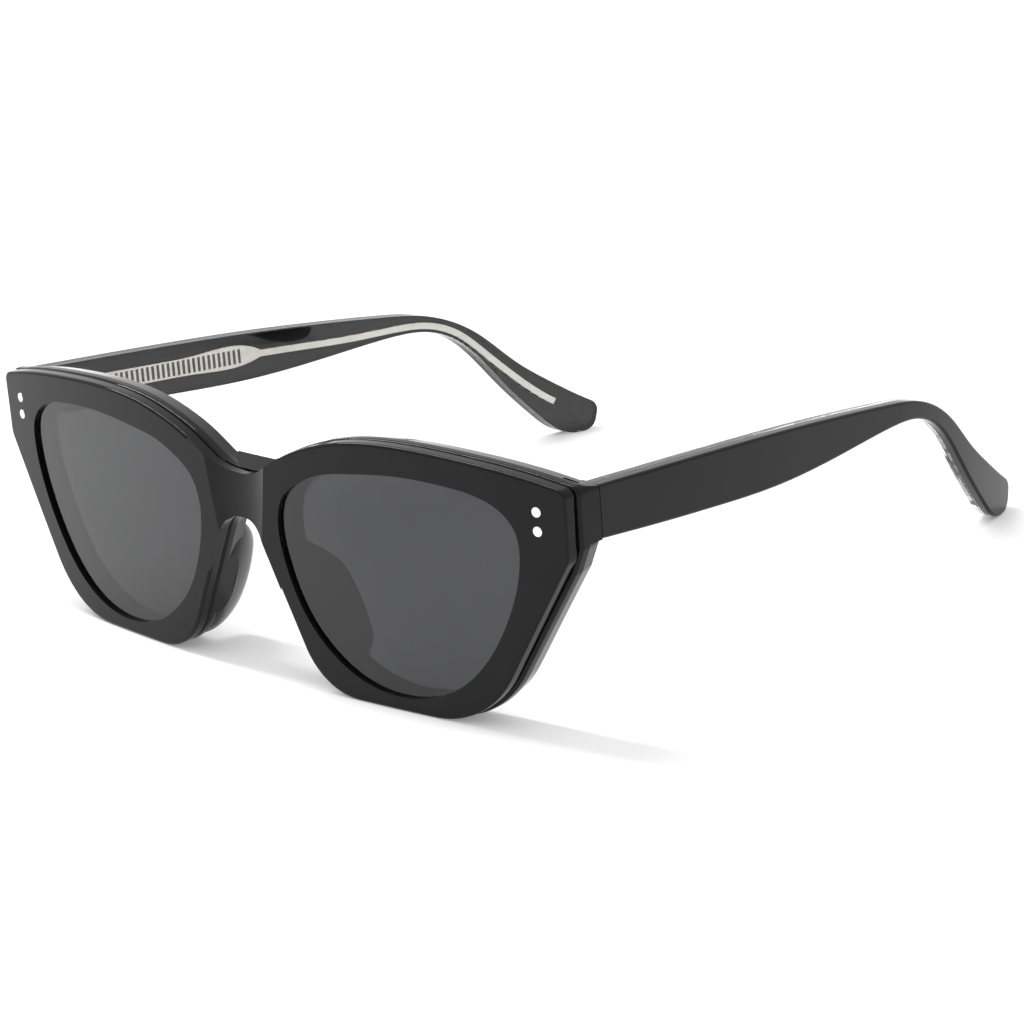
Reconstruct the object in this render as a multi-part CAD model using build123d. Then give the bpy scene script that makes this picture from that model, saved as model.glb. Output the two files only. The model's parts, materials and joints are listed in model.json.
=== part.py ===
from build123d import *
import os
from math import asin, cos, degrees, radians, sin, sqrt

# Cat eye glasses with a magnetic sun clip.  Millimetres.  +X is the wearer's left, -Y is forward, +Z is up.
# The shapes are drawn about a datum: the clip's foremost point is at y = 0 and the rims' feet are at z = 0.
# Everything is moved back by ORIGIN_BEHIND_CLIP at the end, so that the origin is under the middle.
# A "depth" is measured from the clip's front surface towards the wearer, square to the curved front.

ORIGIN_BEHIND_CLIP = 71.4

# The front, seen from above, follows an arc of this radius.
WRAP_RADIUS = 381.0
CLIP_THICKNESS = 2.0
CLIP_TO_FRAME_GAP = 0.3
FRAME_FRONT = CLIP_THICKNESS + CLIP_TO_FRAME_GAP
FRAME_THICKNESS = 4.6
FRAME_BACK = FRAME_FRONT + FRAME_THICKNESS

# Construction solids that only cut or bound a part are this large, which is larger than the whole object.
BEYOND = 200.0

# Half outline of the front, as (x, z): the brow line from the bridge outwards, then the corners of the rest.
BROW = [(0, 35.8), (4.4, 36.5), (8.2, 38.5), (12.7, 41.0), (18.5, 43.25),
        (26, 45.1), (37, 45.95), (52, 45.3), (63, 44.05), (69.4, 42.85)]
CLIP_CORNER = (71.6, 42.4)
CLIP_SIDE_FOOT = (71.4, 30.9)
RIM_FOOT_OUTER = (53.1, 0)
RIM_FOOT_INNER = (17.35, 0)
NOSE_ARCH = (3.84, 28.0)
CORNER_RADIUS = 1.6
SIDE_FOOT_RADIUS = 3.0
FOOT_OUTER_RADIUS = 19.0
FOOT_INNER_RADIUS = 13.0
ARCH_RADIUS = 5.0

# The optical frame stands this far outside the clip, at the rims' feet and along the brow.
FOOT_STEP = 0.6
BROW_STEP = 0.15
END_PIECE_X = 72.3
END_PIECE_FOOT = 32.4
END_PIECE_INNER = 69.0
END_PIECE_UNDERSIDE = 32.9
END_PIECE_FRONT = 3.3
END_PIECE_BACK = 9.9
# The end piece's top falls this much for each millimetre outwards, and backwards.
END_PIECE_FALL = (0.13, 0.2)
SIDE_FOOT_SHIFT = (0.8, 2.8)
SEAM_Y = 13.9

# Lens opening, as (x, z) round the edge.  It is 52 mm wide.
OPENING = [(24.0, 39.5), (37.5, 40.95), (50.0, 40.5), (58.1, 38.4), (61.6, 35.0), (62.2, 29.5), (60.6, 23.0),
           (57.0, 15.6), (51.3, 8.5), (44.0, 4.0), (35.8, 2.5), (28.0, 3.6), (20.4, 7.6), (14.6, 13.8),
           (11.2, 21.5), (10.1, 28.5), (11.6, 33.4), (16.2, 36.9)]
LENS_LIP = 0.6
SUN_LENS = (0.7, 1.5)
OPTICAL_LENS = (3.7, 5.3)

# Scooped bridge: a near-upright round hollow, deeper at the top, across the middle of the clip.
SCOOP_RADIUS = 24.0
SCOOP_DEPTH_TOP = 1.30
SCOOP_DEPTH_LOW = 0.76
SCOOP_TOP_Z = 38.0
SCOOP_LOW_Z = 27.0
BRIDGE_WALL = 1.6
# The top of the frame's bridge is a flat that reaches this height at the back, and falls towards the front.
BRIDGE_TOP_Z = 37.2
BRIDGE_TOP_SLOPE = 0.31
BRIDGE_TOP_WIDTH = 13.0

# Edge roundings, and the bevel round the back of the frame.
CLIP_EDGE = 0.5
FRAME_EDGE = 0.6
REAR_BEVEL_IN = 0.75
REAR_BEVEL_DEPTH = 3.0

# Decorative rivets on the clip, and the disc magnets in its back.
RIVET_X = 66.1
RIVET_Z = (38.6, 35.4)
RIVET_RADIUS = 0.875
RIVET_PROUD = 0.12
RIVET_LENGTH = 1.5
RIVET_EDGE = 0.11
DISC_X = 69.3
DISC_Z = 40.2
DISC_RADIUS = 1.25
DISC_THICKNESS = 1.2

# Bar magnets, each dropped into a slot in the top of an end piece.
SLOT_X = 69.9
SLOT_DEPTH = 4.7
SLOT_SIZE = (3.0, 1.0)
SLOT_END_RADIUS = 0.45
SLOT_FLOOR_Z = 38.2
MAGNET_HEIGHT = 4.2

# Nose pads: oval sections as (y, x, z, half length, half width).
PAD_SECTIONS = [(3.0, 13.3, 13.4, 12.0, 2.25), (7.2, 13.3, 13.4, 12.0, 2.25), (10.0, 14.2, 12.9, 10.4, 2.0),
                (12.5, 15.2, 12.6, 7.6, 1.5), (13.1, 15.5, 12.5, 5.6, 0.6)]
PAD_LEAN = 25.8
PAD_LENS_GAP = 0.3

# Temples.  Plan of the outer face as (x, y), and the side profile as (y, z).
TEMPLE_PLAN = [(72.3, 13.9), (69.3, 60), (66.4, 90), (64.6, 104.6), (60.4, 125), (54.9, 143.6)]
TEMPLE_TOP = [(14.05, 41.9), (32, 40.5), (50, 39.0), (66, 37.45), (82, 35.55), (96, 33.65), (104, 32.1),
              (111.3, 29.2), (116.5, 25.8), (124.4, 18.55), (132.4, 12.4), (140.2, 7.15)]
TEMPLE_TIP = [(143.1, 5.35), (141.8, 0)]
TIP_RADIUS = [2.4, 3.0]
TIP_TOP_SLOPE = (1.0, -0.62)
TEMPLE_UNDER = [(137.9, 0), (134.0, 1.3), (129.8, 5.0), (123.8, 11.6), (119, 17.5), (114.4, 22.8), (109.5, 26.6),
                (104, 28.7), (96, 29.4), (86, 29.15), (70, 28.65), (58, 28.85), (44, 29.9), (30, 31.2),
                (14.05, 32.9)]
TEMPLE_THICKNESS = 3.7
OUTER_LAYER = 2.0
CORE_THICKNESS = 1.0
TEMPLE_OUTER_EDGE = 0.5
TEMPLE_INNER_EDGE = 0.25

# Metal core: a ladder-like paddle in the temple's front half, then a wire to the tip.
PADDLE_TOP = [(25.0, 37.9), (36, 37.05), (48, 36.3), (60.5, 35.5)]
PADDLE_TIP = (65.0, 33.15)
PADDLE_UNDER = [(59.7, 31.9), (48, 32.65), (36, 33.6), (25.0, 34.6)]
PADDLE_RAIL = 0.4
RUNG_PITCH = 1.2
RUNG_GAP = 0.62
WIRE_LINE = [(62.0, 33.45), (74.5, 32.3), (87, 31.25), (97, 30.8), (105, 29.8), (111.5, 27.0),
             (118, 21.3), (124.5, 15.0), (133.4, 7.7)]
WIRE_WIDTH = 1.3

# Hinges.  Five knuckles on one screw: three on the frame's leaf, two on the temple's.
HINGE_X = 67.1
HINGE_Y = 14.9
HINGE_Z = 36.6
KNUCKLE_COUNT = 5
KNUCKLE_PITCH = 1.2
KNUCKLE_GAP = 0.06
KNUCKLE_RADIUS = 1.3
BORE_RADIUS = 0.70
SCREW_RADIUS = 0.65
HEAD_RADIUS = 1.1
HEAD_HEIGHT = 0.6
DRIVER_SLOT = (0.3, 0.3)
LEAF_HEIGHT = 5.8
LEAF_THICKNESS = 1.0
LEAF_CORNER = 1.4
FRAME_LEAF_X = (62.9, 66.5)
TEMPLE_LEAF_Y = (15.1, 21.0)
# The arms between plate and knuckle, seen from above, as two opposite corners (x, y).
FRAME_ARM = [(65.9, 12.2), (67.4, 14.9)]
TEMPLE_ARM = [(67.1, 15.1), (69.0, 16.1)]


def front_prism(face):
    """Pushes a face drawn in (x, z) straight back through the whole front."""
    return extrude(Plane.XZ * face, amount=BEYOND, both=True)


def side_prism(face):
    """Pushes a face drawn in (y, z) sideways through the whole left temple."""
    return extrude(Plane.YZ * face, amount=BEYOND)


def wrapped_layer(front, back):
    """The layer between two depths of the curved front."""
    ring = Cylinder(WRAP_RADIUS - front, BEYOND) - Cylinder(WRAP_RADIUS - back, BEYOND)
    return Pos(0, WRAP_RADIUS, 0) * ring


def on_front(x, z, depth):
    """A location at a depth of the front, with its Z axis pointing straight out of the front surface."""
    turn = degrees(asin(x / WRAP_RADIUS))
    radius = WRAP_RADIUS - depth
    foot = Pos(radius * x / WRAP_RADIUS, WRAP_RADIUS - radius * cos(asin(x / WRAP_RADIUS)), z)
    return foot * Rot(0, 0, turn) * Rot(90, 0, 0)


def front_face(brow, rest):
    """A face from the whole brow and the left half of the rest of an outline, which ends on x = 0."""
    return make_face(brow.edges() + rest.edges() + mirror(rest, Plane.YZ).edges())


def brow_line(rise):
    """The whole top edge of the front, raised by this much."""
    left = [(x, z + rise) for x, z in BROW]
    right = [(-x, z) for x, z in left[:0:-1]]
    return Spline(right + left)


def clip_outline():
    rest = FilletPolyline([BROW[-1], CLIP_CORNER, CLIP_SIDE_FOOT, RIM_FOOT_OUTER, RIM_FOOT_INNER,
                           NOSE_ARCH, (0, NOSE_ARCH[1])],
                          radius=[CORNER_RADIUS, SIDE_FOOT_RADIUS, FOOT_OUTER_RADIUS, FOOT_INNER_RADIUS,
                                  ARCH_RADIUS])
    return front_face(brow_line(0), rest)


def frame_outline():
    corner = (END_PIECE_X, CLIP_CORNER[1] + BROW_STEP)
    side_foot = (CLIP_SIDE_FOOT[0] - SIDE_FOOT_SHIFT[0], CLIP_SIDE_FOOT[1] - SIDE_FOOT_SHIFT[1])
    rest = FilletPolyline([(BROW[-1][0], BROW[-1][1] + BROW_STEP), corner, (END_PIECE_X, END_PIECE_FOOT),
                           side_foot, (RIM_FOOT_OUTER[0] + FOOT_STEP, 0), RIM_FOOT_INNER, NOSE_ARCH,
                           (0, NOSE_ARCH[1])],
                          radius=[CORNER_RADIUS, CORNER_RADIUS, SIDE_FOOT_RADIUS, FOOT_OUTER_RADIUS,
                                  FOOT_INNER_RADIUS, ARCH_RADIUS])
    return front_face(brow_line(BROW_STEP), rest)


def opening_face(grow=0.0):
    """The left lens opening, or the same shape made larger all round."""
    edge = Spline(OPENING, periodic=True)
    points = []
    for x, z in OPENING:
        along = edge.tangent_at(edge.param_at_point((x, z)))
        points.append((x - grow * along.Y, z + grow * along.X))
    return make_face(Spline(points, periodic=True))


def both_sides(part):
    return part + mirror(part, Plane.YZ)


def scoop(clearance):
    """The round hollow across the bridge, made larger by a clearance."""
    lean = degrees(asin((SCOOP_DEPTH_TOP - SCOOP_DEPTH_LOW) / (SCOOP_TOP_Z - SCOOP_LOW_Z)))
    axis_foot = Pos(0, SCOOP_DEPTH_TOP - SCOOP_RADIUS, SCOOP_TOP_Z)
    return axis_foot * Rot(-lean, 0, 0) * Cylinder(SCOOP_RADIUS + clearance, BEYOND)


def surface_edges(part, depth):
    """The edges that lie all along the wrapped surface at this depth."""
    def on_surface(edge):
        spots = [edge @ share for share in (0.0, 0.3, 0.7, 1.0)]
        return all(abs(sqrt(p.X ** 2 + (p.Y - WRAP_RADIUS) ** 2) - (WRAP_RADIUS - depth)) < 0.01 for p in spots)
    return part.edges().filter_by(on_surface)


def surface_face(part, depth):
    """The face of a plain front layer that lies on the wrapped surface at this depth."""
    return sorted(part.faces(), key=lambda face: abs(WRAP_RADIUS - depth - face.radius)
                  if face.geom_type == GeomType.CYLINDER else WRAP_RADIUS)[0]


def clip_lens():
    return front_prism(opening_face(LENS_LIP)) & wrapped_layer(*SUN_LENS)


def optical_lens():
    return front_prism(opening_face(LENS_LIP)) & wrapped_layer(*OPTICAL_LENS)


def clip_rivets():
    """Two rivets, one above the other, with low domed heads."""
    rivets = []
    for z in RIVET_Z:
        shank = extrude(Circle(RIVET_RADIUS), amount=RIVET_LENGTH + RIVET_PROUD)
        shank = fillet(shank.edges().group_by(Axis.Z)[-1], RIVET_EDGE)
        rivets.append(on_front(RIVET_X, z, RIVET_LENGTH) * shank)
    return Compound(children=rivets)


def clip_magnet():
    return on_front(DISC_X, DISC_Z, CLIP_THICKNESS) * extrude(Circle(DISC_RADIUS), amount=DISC_THICKNESS)


def clip_front():
    body = front_prism(clip_outline()) & wrapped_layer(0, CLIP_THICKNESS)
    body = fillet(surface_edges(body, 0), CLIP_EDGE)
    bridge = front_prism(clip_outline()) & wrapped_layer(0, FRAME_BACK) & (scoop(BRIDGE_WALL) - scoop(0))
    body = body - scoop(0) + bridge
    return body - both_sides(front_prism(opening_face()))


def frame_magnet():
    """A flat bar that sits on the floor of the slot in the end piece."""
    width, thickness = SLOT_SIZE
    bar = Box(width, MAGNET_HEIGHT, thickness, align=(Align.CENTER, Align.MIN, Align.CENTER))
    return on_front(SLOT_X, SLOT_FLOOR_Z, SLOT_DEPTH) * bar


def magnet_slot():
    width, thickness = SLOT_SIZE
    slot = Box(width, BEYOND, thickness, align=(Align.CENTER, Align.MIN, Align.CENTER))
    slot = fillet(slot.edges().filter_by(Axis.Y), SLOT_END_RADIUS)
    return on_front(SLOT_X, SLOT_FLOOR_Z + MAGNET_HEIGHT, SLOT_DEPTH) * slot


def below(point, falls_outwards, falls_backwards):
    """All the space under a sloping plane through a point."""
    uphill = Plane(origin=point, z_dir=(falls_outwards, falls_backwards, 1))
    return uphill * Box(2 * BEYOND, 2 * BEYOND, BEYOND, align=(Align.CENTER, Align.CENTER, Align.MAX))


def end_piece():
    """The thick outer end of the frame, flat at the back where the temple butts against it."""
    corner = Pos(END_PIECE_INNER, SEAM_Y, END_PIECE_UNDERSIDE)
    block = corner * Box(BEYOND, BEYOND, BEYOND, align=(Align.MIN, Align.MAX, Align.MIN))
    thick_layer = wrapped_layer(END_PIECE_FRONT, END_PIECE_BACK)
    bevel_start = on_front(BROW[-1][0], BROW[-1][1] + BROW_STEP, FRAME_BACK - REAR_BEVEL_DEPTH).position
    return front_prism(frame_outline()) & thick_layer & block & below(bevel_start, *END_PIECE_FALL)


def bridge_top():
    """The wedge that fills the rear bevel at the bridge."""
    wedge = below((0, FRAME_BACK, BRIDGE_TOP_Z), 0, -BRIDGE_TOP_SLOPE)
    block = Pos(0, 0, NOSE_ARCH[1] + 2) * Box(BRIDGE_TOP_WIDTH, BEYOND, BEYOND,
                                              align=(Align.CENTER, Align.CENTER, Align.MIN))
    return wedge & block & wrapped_layer(FRAME_FRONT, FRAME_BACK)


def front_frame():
    rim = front_prism(frame_outline()) & wrapped_layer(FRAME_FRONT, FRAME_BACK)
    back = surface_face(rim, FRAME_BACK)
    rim = chamfer(back.outer_wire().edges(), REAR_BEVEL_IN, REAR_BEVEL_DEPTH, reference=back)
    rim = rim + both_sides(end_piece())
    rim = fillet(surface_edges(rim, FRAME_FRONT), FRAME_EDGE)
    rim = rim + bridge_top() - scoop(BRIDGE_WALL + CLIP_TO_FRAME_GAP)
    behind_seam = Pos(0, SEAM_Y, 0) * Box(BEYOND, BEYOND, BEYOND, align=(Align.CENTER, Align.MIN, Align.CENTER))
    return rim - both_sides(front_prism(opening_face())) - behind_seam


def nose_pad(frame):
    """A splayed oval pad, shaped to the frame that it is bonded to, inside its outline and clear of the lens."""
    slant = Vector(-sin(radians(PAD_LEAN)), 0, cos(radians(PAD_LEAN)))
    rings = []
    for y, x, z, half_length, half_width in PAD_SECTIONS:
        rings.append(Plane(origin=(x, y, z), x_dir=slant, z_dir=(0, 1, 0)) * Ellipse(half_length, half_width))
    pad = loft(rings)
    lens_space = front_prism(opening_face(LENS_LIP)) & wrapped_layer(0, OPTICAL_LENS[1] + PAD_LENS_GAP)
    beside_frame = wrapped_layer(0, FRAME_BACK) - front_prism(frame_outline())
    return (pad - frame - lens_space - beside_frame).solids().sort_by(SortBy.VOLUME)[-1]


def temple_strip(outer, inner):
    """The temple's bent sheet between two distances inside its outer face, full height."""
    outer_line = Spline([(x - outer, y) for x, y in TEMPLE_PLAN])
    inner_line = Spline([(x - inner, y) for x, y in TEMPLE_PLAN])
    ends = [Line(outer_line @ end, inner_line @ end) for end in (0, 1)]
    return extrude(make_face(outer_line.edges() + inner_line.edges() + ends), amount=BEYOND, both=True)


def temple_profile():
    """The temple seen from the side, from its flat front end round the tip."""
    top = Spline(TEMPLE_TOP, tangents=[Vector(*TEMPLE_TOP[1]) - Vector(*TEMPLE_TOP[0]), TIP_TOP_SLOPE])
    tip = FilletPolyline(TEMPLE_TOP[-1:] + TEMPLE_TIP + TEMPLE_UNDER[:1], radius=TIP_RADIUS)
    under = Spline(TEMPLE_UNDER)
    front = Line(TEMPLE_UNDER[-1], TEMPLE_TOP[0])
    return make_face(top.edges() + tip.edges() + under.edges() + front.edges())


def height_at(line, y):
    """The height of a line of (y, z) points, taken straight from point to point."""
    for (y_low, z_low), (y_high, z_high) in zip(line, line[1:]):
        if y_low <= y <= y_high:
            return z_low + (z_high - z_low) * (y - y_low) / (y_high - y_low)


def paddle_profile():
    top = Spline(PADDLE_TOP + [PADDLE_TIP])
    under = Spline([PADDLE_TIP] + PADDLE_UNDER)
    return make_face(top.edges() + under.edges() + Line(PADDLE_UNDER[-1], PADDLE_TOP[0]).edges())


def wire_profile():
    """A ribbon of constant width along the wire's line, cut square at both ends."""
    middle = Spline(WIRE_LINE)
    sides = []
    for half in (WIRE_WIDTH / 2, -WIRE_WIDTH / 2):
        points = []
        for y, z in WIRE_LINE:
            along = middle.tangent_at(middle.param_at_point((y, z)))
            points.append((y - half * along.Y, z + half * along.X))
        sides.append(Spline(points))
    ends = [Line(sides[0] @ end, sides[1] @ end) for end in (0, 1)]
    return make_face(sides[0].edges() + sides[1].edges() + ends)


def hinge_leaf(first, arm_from, arm_to, plate):
    """A leaf: its plate, and every second knuckle from this one, each joined to the plate by a short arm."""
    leaf = plate
    height = KNUCKLE_PITCH - KNUCKLE_GAP
    (x_low, y_low), (x_high, y_high) = arm_from, arm_to
    for index in range(first, KNUCKLE_COUNT, 2):
        z = HINGE_Z + (index - (KNUCKLE_COUNT - 1) / 2) * KNUCKLE_PITCH
        knuckle = Pos(HINGE_X, HINGE_Y, z) * Cylinder(KNUCKLE_RADIUS, height)
        arm = Pos((x_low + x_high) / 2, (y_low + y_high) / 2, z) * Box(x_high - x_low, y_high - y_low, height)
        leaf = leaf + knuckle + arm
    return leaf - Pos(HINGE_X, HINGE_Y, HINGE_Z) * Cylinder(BORE_RADIUS, BEYOND)


def frame_hinge():
    x_low, x_high = FRAME_LEAF_X
    plate = Pos((x_low + x_high) / 2, 0, HINGE_Z) * Box(x_high - x_low, BEYOND, LEAF_HEIGHT)
    plate = fillet(plate.edges().filter_by(Axis.Y).group_by(Axis.X)[0], LEAF_CORNER)
    plate = plate & wrapped_layer(FRAME_BACK - LEAF_THICKNESS, FRAME_BACK)
    return hinge_leaf(0, *FRAME_ARM, plate)


def temple_hinge():
    y_low, y_high = TEMPLE_LEAF_Y
    plate = Pos(HINGE_X, (y_low + y_high) / 2, HINGE_Z) * Box(BEYOND, y_high - y_low, LEAF_HEIGHT)
    plate = fillet(plate.edges().filter_by(Axis.X).group_by(Axis.Y)[-1], LEAF_CORNER)
    plate = plate & temple_strip(TEMPLE_THICKNESS - LEAF_THICKNESS, TEMPLE_THICKNESS)
    return hinge_leaf(1, *TEMPLE_ARM, plate)


def hinge_screw():
    top = HINGE_Z + KNUCKLE_COUNT * KNUCKLE_PITCH / 2
    bottom = HINGE_Z - KNUCKLE_COUNT * KNUCKLE_PITCH / 2
    shank = Pos(HINGE_X, HINGE_Y, (top + bottom) / 2) * Cylinder(SCREW_RADIUS, top - bottom)
    head = Pos(HINGE_X, HINGE_Y, top + HEAD_HEIGHT / 2 - KNUCKLE_GAP / 2) * Cylinder(HEAD_RADIUS, HEAD_HEIGHT)
    width, depth = DRIVER_SLOT
    slot = Pos(HINGE_X, HINGE_Y, top + HEAD_HEIGHT) * Box(4 * HEAD_RADIUS, width, 2 * depth)
    return shank + head - slot


def temple_core():
    """The ladder of rungs between two rails, and the wire behind it."""
    sheet = temple_strip(OUTER_LAYER, OUTER_LAYER + CORE_THICKNESS)
    slots = []
    y = PADDLE_TOP[0][0] + RUNG_PITCH
    while y < PADDLE_UNDER[0][0]:
        low = height_at(PADDLE_UNDER[::-1], y) + PADDLE_RAIL
        high = height_at(PADDLE_TOP, y) - PADDLE_RAIL
        slots.append(Pos(0, y, (low + high) / 2) * Box(BEYOND, RUNG_GAP, high - low))
        y += RUNG_PITCH
    paddle = side_prism(paddle_profile()) & sheet
    wire = side_prism(wire_profile()) & sheet
    return paddle + wire - slots


def core_pocket():
    sheet = temple_strip(OUTER_LAYER, OUTER_LAYER + CORE_THICKNESS)
    return (side_prism(paddle_profile()) + side_prism(wire_profile())) & sheet


def rim_edges(part, outermost):
    """The long edges round the temple's outer or inner face, without its square front end."""
    faces = part.faces().sort_by(SortBy.AREA)[-2:].sort_by(lambda face: face.center().X)
    edges = faces[-1 if outermost else 0].outer_wire().edges()
    return edges.filter_by(lambda edge: edge.bounding_box().max.Y > TEMPLE_TOP[0][0] + 1)


def temple_outer():
    body = temple_strip(0, OUTER_LAYER) & side_prism(temple_profile())
    return fillet(rim_edges(body, True), TEMPLE_OUTER_EDGE)


def temple_inner(hinge):
    body = temple_strip(OUTER_LAYER, TEMPLE_THICKNESS) & side_prism(temple_profile())
    body = fillet(rim_edges(body, False), TEMPLE_INNER_EDGE)
    return body - core_pocket() - hinge


def left_nodes(frame):
    """Every sub-part that the left side has, by name.  The right side's are their mirror images."""
    hinge = temple_hinge()
    return {
        "nose_pad": nose_pad(frame),
        "optical_lens": optical_lens(),
        "frame_hinge": frame_hinge(),
        "hinge_screw": hinge_screw(),
        "frame_magnet": frame_magnet(),
        "clip_lens": clip_lens(),
        "clip_rivets": clip_rivets(),
        "clip_magnet": clip_magnet(),
        "temple_outer": temple_outer(),
        "temple_inner": temple_inner(hinge),
        "temple_core": temple_core(),
        "temple_hinge": hinge,
    }


def main():
    frame = front_frame()
    clip = clip_front()
    nodes = {}
    for name, part in left_nodes(frame).items():
        nodes[name + "_left"] = part
        nodes[name + "_right"] = mirror(part, Plane.YZ)
    for side in ("_left", "_right"):
        for name in ("optical_lens", "frame_hinge", "frame_magnet"):
            frame = frame - nodes[name + side]
        for name in ("clip_lens", "clip_rivets", "clip_magnet"):
            clip = clip - nodes[name + side]
    nodes["front_frame"] = frame - both_sides(magnet_slot())
    nodes["clip_front"] = clip
    os.makedirs("parts", exist_ok=True)
    for name, part in nodes.items():
        part = Pos(0, -ORIGIN_BEHIND_CLIP, 0) * part
        part.label = name
        export_step(part, os.path.join("parts", name + ".step"))


main()
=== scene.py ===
import json
import math

import bpy
from mathutils.bvhtree import BVHTree
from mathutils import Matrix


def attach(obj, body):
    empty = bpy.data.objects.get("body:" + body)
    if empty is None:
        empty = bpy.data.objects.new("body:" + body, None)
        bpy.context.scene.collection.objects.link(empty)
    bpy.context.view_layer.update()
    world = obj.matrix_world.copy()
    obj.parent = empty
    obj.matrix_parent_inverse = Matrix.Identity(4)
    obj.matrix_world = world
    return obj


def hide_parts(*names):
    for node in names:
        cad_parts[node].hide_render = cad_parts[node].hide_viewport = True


# Cat eye glasses with a magnetic sun clip: looks, light and camera.  Metres, in the frame of the CAD model.

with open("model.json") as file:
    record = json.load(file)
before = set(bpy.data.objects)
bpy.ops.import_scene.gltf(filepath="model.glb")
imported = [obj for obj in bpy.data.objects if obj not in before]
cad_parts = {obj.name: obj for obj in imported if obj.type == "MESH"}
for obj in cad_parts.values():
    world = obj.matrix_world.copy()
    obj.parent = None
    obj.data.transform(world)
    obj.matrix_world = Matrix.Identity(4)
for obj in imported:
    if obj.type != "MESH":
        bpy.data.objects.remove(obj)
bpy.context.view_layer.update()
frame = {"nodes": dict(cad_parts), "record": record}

MM = 0.001
SIDES = ("left", "right")

CAMERA_PLACE = (0.4197, -0.4155, 0.1942)
CAMERA_TURN = (72.62, 4.15, 44.44)
CAMERA_LENS = 116.94
SENSOR_WIDTH = 36.0

# A temple's clear layer is sunk this deep into the black one, wherever it comes this close to it.
BOND_DEPTH = 0.1 * MM
BOND_REACH = 0.05 * MM

ACETATE_INDEX = 1.48
LENS_INDEX = 1.5
# The range that most of a noise pattern's values lie in.
NOISE_MIDDLE = (0.3, 0.7)

FLOOR_SIZE = 6.0
FLOOR_GLOW = 0.2
WORLD_LIGHT = 0.9
# Softboxes, as name, place, width, length and power in watts.  The strip's reflection lines the edges.
LIGHTS = [("overhead", (0.0, 0.0, 1.2), 1.6, 1.6, 2.0), ("strip", (-0.55, -0.1, 0.95), 0.1, 0.9, 8.0)]
LIGHT_TARGET = (0.0, 0.0, 0.02)


def new_material(name):
    """A node material and its Principled shader."""
    material = bpy.data.materials.new(name)
    material.use_nodes = True
    shader = material.node_tree.nodes["Principled BSDF"]
    return material, shader


def add_node(material, kind, **values):
    """A node whose unlinked inputs are given by name."""
    node = material.node_tree.nodes.new(kind)
    for key, value in values.items():
        node.inputs[key].default_value = value
    return node


def link(material, source, target):
    material.node_tree.links.new(source, target)


def noise(material, scale, detail=3.0, roughness=0.5, stretch=(1.0, 1.0, 1.0)):
    """Noise fixed to the object, at so many features to the metre."""
    place = add_node(material, "ShaderNodeTexCoord")
    mapping = add_node(material, "ShaderNodeMapping", Scale=stretch)
    pattern = add_node(material, "ShaderNodeTexNoise", Scale=scale, Detail=detail, Roughness=roughness)
    link(material, place.outputs["Object"], mapping.inputs["Vector"])
    link(material, mapping.outputs["Vector"], pattern.inputs["Vector"])
    return pattern.outputs["Fac"]


def ramp(material, value, low, high):
    """Maps the middle of a noise pattern to the colours from low to high."""
    node = add_node(material, "ShaderNodeValToRGB")
    for element, position, colour in zip(node.color_ramp.elements, NOISE_MIDDLE, (low, high)):
        element.position = position
        element.color = (*colour, 1.0)
    link(material, value, node.inputs["Fac"])
    return node.outputs["Color"]


def spread(material, value, low, high):
    """Maps the middle of a noise pattern to the range low..high."""
    node = add_node(material, "ShaderNodeMapRange")
    node.inputs["From Min"].default_value = NOISE_MIDDLE[0]
    node.inputs["From Max"].default_value = NOISE_MIDDLE[1]
    node.inputs["To Min"].default_value = low
    node.inputs["To Max"].default_value = high
    link(material, value, node.inputs["Value"])
    return node.outputs["Result"]


def bump(material, shader, height, depth):
    """Relief of the given depth in metres."""
    node = add_node(material, "ShaderNodeBump", Distance=depth)
    link(material, height, node.inputs["Height"])
    link(material, node.outputs["Normal"], shader.inputs["Normal"])


def black_acetate():
    """Polished black sheet plastic: deep black with faint cloudy pigment and a buffing haze."""
    material, shader = new_material("black_acetate")
    clouds = noise(material, 120.0, detail=4.0)
    colour = ramp(material, clouds, (0.0022, 0.0022, 0.0025), (0.0048, 0.0047, 0.005))
    link(material, colour, shader.inputs["Base Color"])
    haze = noise(material, 900.0, detail=5.0, roughness=0.6)
    link(material, spread(material, haze, 0.05, 0.09), shader.inputs["Roughness"])
    shader.inputs["IOR"].default_value = ACETATE_INDEX
    shader.inputs["Specular IOR Level"].default_value = 0.21
    bump(material, shader, noise(material, 260.0, detail=1.0), 0.004 * MM)
    return material


def clear_acetate():
    """Clear sheet plastic, very slightly warm, with faint flow lines along its length."""
    material, shader = new_material("clear_acetate")
    flow = noise(material, 300.0, stretch=(1.0, 0.1, 1.0))
    colour = ramp(material, flow, (0.93, 0.94, 0.93), (0.985, 0.985, 0.975))
    link(material, colour, shader.inputs["Base Color"])
    link(material, spread(material, flow, 0.0, 0.02), shader.inputs["Roughness"])
    shader.inputs["IOR"].default_value = ACETATE_INDEX
    shader.inputs["Transmission Weight"].default_value = 1.0
    return material


def lens(name, darkest, clearest, specular_level):
    """A polished lens; the colours are what passes through it."""
    material, shader = new_material(name)
    tint = noise(material, 40.0, detail=1.0)
    link(material, ramp(material, tint, darkest, clearest), shader.inputs["Base Color"])
    smears = noise(material, 150.0, detail=4.0)
    link(material, spread(material, smears, 0.0, 0.03), shader.inputs["Roughness"])
    shader.inputs["IOR"].default_value = LENS_INDEX
    shader.inputs["Transmission Weight"].default_value = 1.0
    shader.inputs["Specular IOR Level"].default_value = specular_level
    return material


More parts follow.
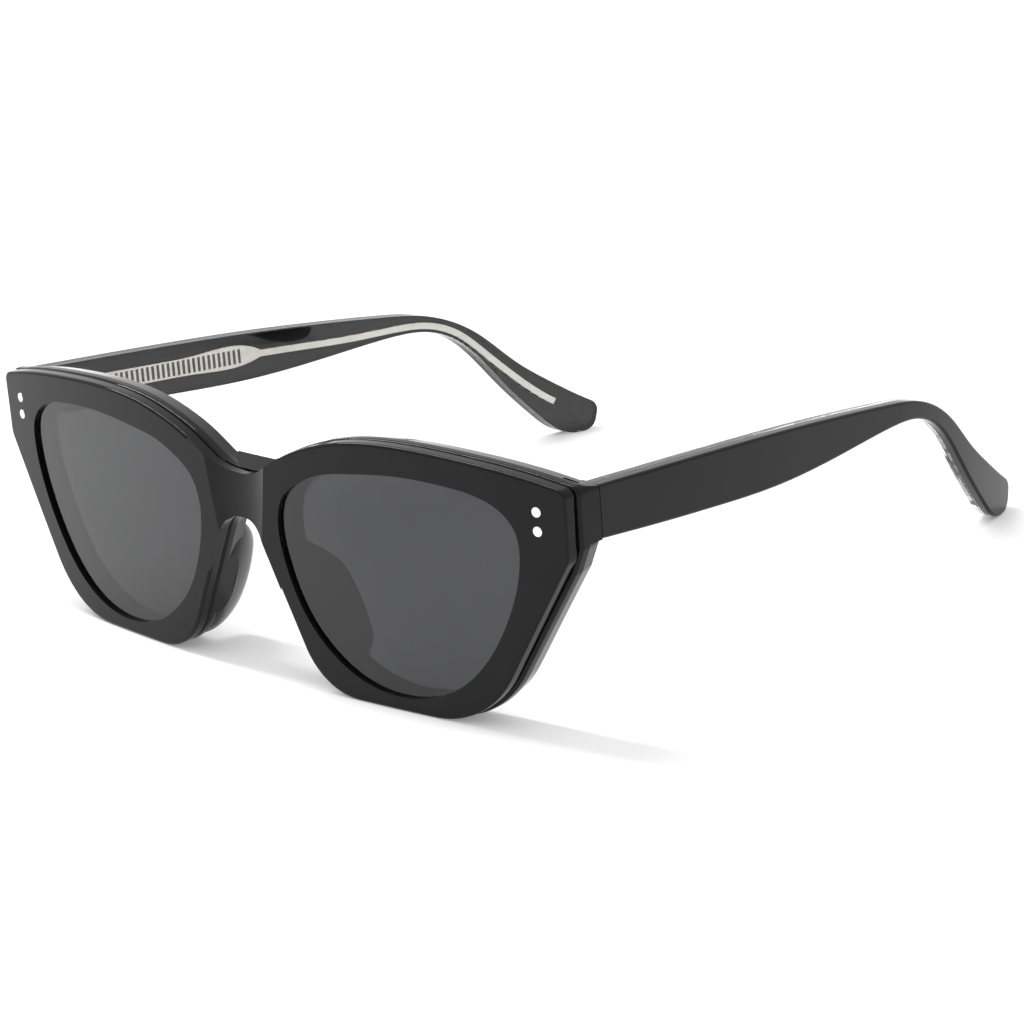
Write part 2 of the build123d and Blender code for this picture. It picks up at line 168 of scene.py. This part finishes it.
def metal(name, dark, light, roughness, grain, depth, stretch=(1.0, 1.0, 1.0)):
    """Bare metal with a fine grain, which runs along the least stretched direction."""
    material, shader = new_material(name)
    strokes = noise(material, grain, detail=4.0, stretch=stretch)
    link(material, ramp(material, strokes, dark, light), shader.inputs["Base Color"])
    link(material, spread(material, strokes, *roughness), shader.inputs["Roughness"])
    shader.inputs["Metallic"].default_value = 1.0
    bump(material, shader, strokes, depth)
    return material


def paint_nodes():
    """Gives each CAD node the material of its slot."""
    black = black_acetate()
    hinge = metal("nickel_silver", (0.50, 0.49, 0.46), (0.66, 0.65, 0.62), roughness=(0.22, 0.38),
                  grain=500.0, depth=0.004 * MM, stretch=(1.0, 8.0, 8.0))
    clear = clear_acetate()
    clear_lens = lens("clear_lens", (0.94, 0.96, 0.96), (0.97, 0.98, 0.98), specular_level=0.3)
    dark_lens = lens("dark_lens", (0.034, 0.034, 0.037), (0.040, 0.040, 0.043), specular_level=0.17)
    rivet = metal("rivet_silver", (0.80, 0.80, 0.78), (0.92, 0.92, 0.90), roughness=(0.12, 0.2),
                  grain=1500.0, depth=0.002 * MM)
    screw = metal("screw_steel", (0.55, 0.55, 0.56), (0.70, 0.70, 0.71), roughness=(0.18, 0.3),
                  grain=800.0, depth=0.003 * MM, stretch=(1.0, 1.0, 12.0))
    core = metal("core_metal", (0.60, 0.58, 0.53), (0.78, 0.76, 0.71), roughness=(0.3, 0.45),
                 grain=900.0, depth=0.004 * MM, stretch=(1.0, 0.2, 1.0))
    magnet = metal("magnet_nickel", (0.40, 0.41, 0.42), (0.55, 0.56, 0.57), roughness=(0.1, 0.2),
                   grain=700.0, depth=0.002 * MM)
    by_slot = {
        "frame_acetate": black,
        "clip_acetate": black,
        "temple_black": black,
        "temple_clear": clear,
        "clear_lens": clear_lens,
        "dark_lens": dark_lens,
        "rivet_silver": rivet,
        "hinge_steel": hinge,
        "hinge_screw": screw,
        "core_metal": core,
        "magnet_nickel": magnet,
    }
    slots = {part["node"]: part["material_slot"] for part in frame["record"]["subparts"]}
    for name, node in frame["nodes"].items():
        node.data.materials.clear()
        node.data.materials.append(by_slot[slots[name]])


def make_clear_layer(side):
    """The temple's clear layer, its bonded face sunk into the black layer so that no two faces coincide."""
    source = frame["nodes"]["temple_inner_" + side]
    black = frame["nodes"]["temple_outer_" + side]
    corners = [black.matrix_world @ vertex.co for vertex in black.data.vertices]
    surface = BVHTree.FromPolygons(corners, [list(face.vertices) for face in black.data.polygons])
    mesh = source.data.copy()
    to_local = source.matrix_world.inverted()
    for vertex in mesh.vertices:
        place = source.matrix_world @ vertex.co
        if surface.find_nearest(place, BOND_REACH)[0] is not None:
            place.x += math.copysign(BOND_DEPTH, place.x)
            vertex.co = to_local @ place
    piece = bpy.data.objects.new("clear_layer_" + side, mesh)
    piece.matrix_world = source.matrix_world.copy()
    bpy.context.scene.collection.objects.link(piece)
    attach(piece, "temple_" + side)
    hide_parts("temple_inner_" + side)


def make_floor():
    """A plain pale floor with a slight glow, which keeps it white without a hard light."""
    mesh = bpy.data.meshes.new("floor")
    half = FLOOR_SIZE / 2
    corners = [(-half, -half, 0), (half, -half, 0), (half, half, 0), (-half, half, 0)]
    mesh.from_pydata(corners, [], [(0, 1, 2, 3)])
    floor = bpy.data.objects.new("floor", mesh)
    bpy.context.scene.collection.objects.link(floor)
    material, shader = new_material("floor_white")
    mottle = noise(material, 6.0)
    colour = ramp(material, mottle, (0.75, 0.75, 0.75), (0.77, 0.77, 0.77))
    link(material, colour, shader.inputs["Base Color"])
    shader.inputs["Emission Color"].default_value = (1.0, 1.0, 1.0, 1.0)
    shader.inputs["Emission Strength"].default_value = FLOOR_GLOW
    shader.inputs["Roughness"].default_value = 0.9
    shader.inputs["Specular IOR Level"].default_value = 0.1
    mesh.materials.append(material)


def make_light(name, place, target, width, length, power):
    """A softbox that faces its target."""
    data = bpy.data.lights.new(name, "AREA")
    data.shape = "RECTANGLE"
    data.size = width
    data.size_y = length
    data.energy = power
    light = bpy.data.objects.new(name, data)
    light.location = place
    direction = [b - a for a, b in zip(place, target)]
    yaw = math.atan2(direction[0], -direction[1])
    flat = math.hypot(direction[0], direction[1])
    light.rotation_euler = (math.atan2(flat, -direction[2]), 0.0, yaw + math.pi)
    bpy.context.scene.collection.objects.link(light)


def make_lights():
    world = bpy.data.worlds.new("studio")
    world.use_nodes = True
    world.node_tree.nodes["Background"].inputs["Color"].default_value = (1.0, 1.0, 1.0, 1.0)
    world.node_tree.nodes["Background"].inputs["Strength"].default_value = WORLD_LIGHT
    bpy.context.scene.world = world
    for name, place, width, length, power in LIGHTS:
        make_light(name, place, LIGHT_TARGET, width, length, power)


def make_camera():
    data = bpy.data.cameras.new("camera")
    data.lens = CAMERA_LENS
    data.sensor_width = SENSOR_WIDTH
    data.clip_start = 10 * MM
    camera = bpy.data.objects.new("camera", data)
    camera.location = CAMERA_PLACE
    camera.rotation_euler = [math.radians(angle) for angle in CAMERA_TURN]
    bpy.context.scene.collection.objects.link(camera)
    bpy.context.scene.camera = camera


paint_nodes()
for side in SIDES:
    make_clear_layer(side)
make_floor()
make_lights()
make_camera()
bpy.context.scene.view_settings.view_transform = "Standard"
